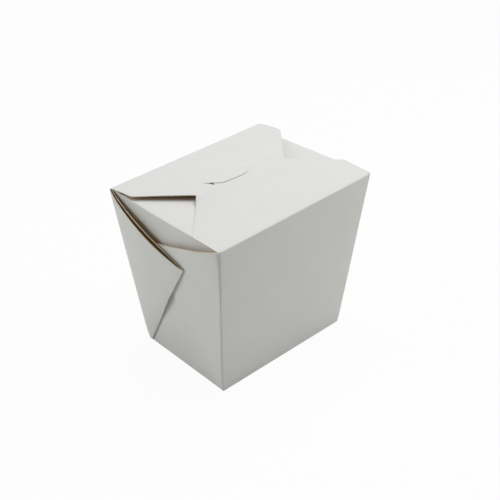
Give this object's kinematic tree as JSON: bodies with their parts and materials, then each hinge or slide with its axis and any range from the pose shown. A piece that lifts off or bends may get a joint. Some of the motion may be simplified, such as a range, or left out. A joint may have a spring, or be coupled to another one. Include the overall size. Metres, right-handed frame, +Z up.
{
  "type": "folded paper take-out box",
  "caption": "Flared take-out pail folded from one sheet of white paperboard, with corner webs over the ends and a lid closed by a tongue in a slit.",
  "frame": {"origin": "middle of the base, on its underside", "axes": "+X along the long walls, +Y from the front wall (the hinged flap's) to the back wall, +Z up"},
  "size_m": [0.1098, 0.0914, 0.1015],
  "materials": {
    "white_board": "matt white outside, plain brown inside, tan cut edges"
  },
  "bodies": {
    "carton": {"carton": "white_board"},
    "front_flap": {"front_flap": "white_board"}
  },
  "joints": [
    {"name": "front_flap_hinge", "type": "hinge", "parent": "carton", "child": "front_flap", "pos_m": [0, -0.0457, 0.09906], "axis": [1, 0, 0], "range_deg": [0, 175]}
  ]
}
